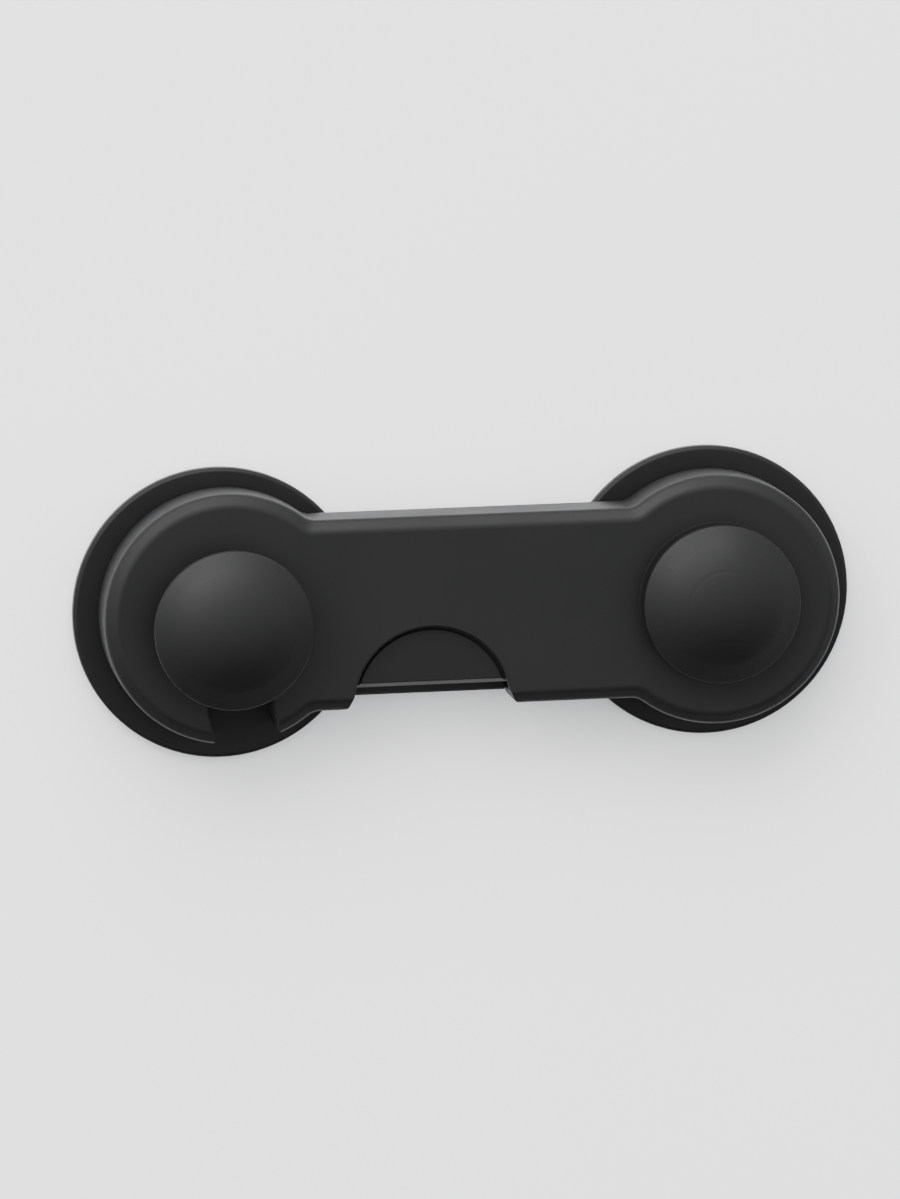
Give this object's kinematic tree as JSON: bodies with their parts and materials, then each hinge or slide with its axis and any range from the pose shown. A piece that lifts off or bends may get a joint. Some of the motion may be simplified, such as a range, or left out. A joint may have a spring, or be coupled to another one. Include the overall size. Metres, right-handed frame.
{
  "type": "cabinet safety lock",
  "caption": "Stick-on swing-bar cabinet lock: a bar turns about one round base, hooks over the neck of another, and is freed by a half-round thumb button.",
  "frame": {"origin": "on the pivot axis, at the underside of the pivot base's adhesive pad, which lies on the door surface", "axes": "+Z points out of the door along the pivot axis, -X runs along the bar from the pivot towards the catch, +Y is the side that the free end swings up to"},
  "size_m": [0.1195, 0.045, 0.0256],
  "materials": {
    "foam": "closed-cell foam with adhesive on both sides, matte",
    "base": "fine satin moulded plastic",
    "cap": "fine satin moulded plastic",
    "cover": "fine satin moulded plastic",
    "button": "fine satin moulded plastic",
    "inner": "dark grey acetal, slightly waxy",
    "screw": "zinc-plated steel",
    "washer": "stamped steel",
    "spring": "drawn spring wire"
  },
  "bodies": {
    "bases": {"pivot_adhesive_pad": "foam", "catch_adhesive_pad": "foam", "pivot_base": "base", "catch_base": "base", "pivot_cap": "cap", "catch_cap": "cap", "cap_screws": "screw"},
    "bar": {"bar_front_cover": "cover", "bar_back_cover": "cover", "bar_cover_screws": "screw", "pivot_washer": "washer", "latch_leaf": "inner", "button_spring": "spring"},
    "button": {"thumb_button": "button"},
    "slide": {"release_slide": "inner"}
  },
  "joints": [
    {"name": "bar_swing", "type": "hinge", "parent": "bases", "child": "bar", "pos_m": [0, 0, 0.008], "axis": [0, 0, -1], "range_deg": [0, 180], "deforming": ["latch_leaf"]},
    {"name": "button_press", "type": "slide", "parent": "bar", "child": "button", "axis": [0, 0, -1], "range_m": [0, 0.0022], "stiffness_N_per_m": 2500, "springref_m": -0.0006, "deforming": ["button_spring"]},
    {"name": "release_slide_travel", "type": "slide", "parent": "bar", "child": "slide", "axis": [1, 0, 0], "range_m": [0, 0.0033], "deforming": ["latch_leaf"]}
  ],
  "couplings": [
    {"joint": "release_slide_travel", "follows": "button_press", "ratio": 1.5}
  ]
}
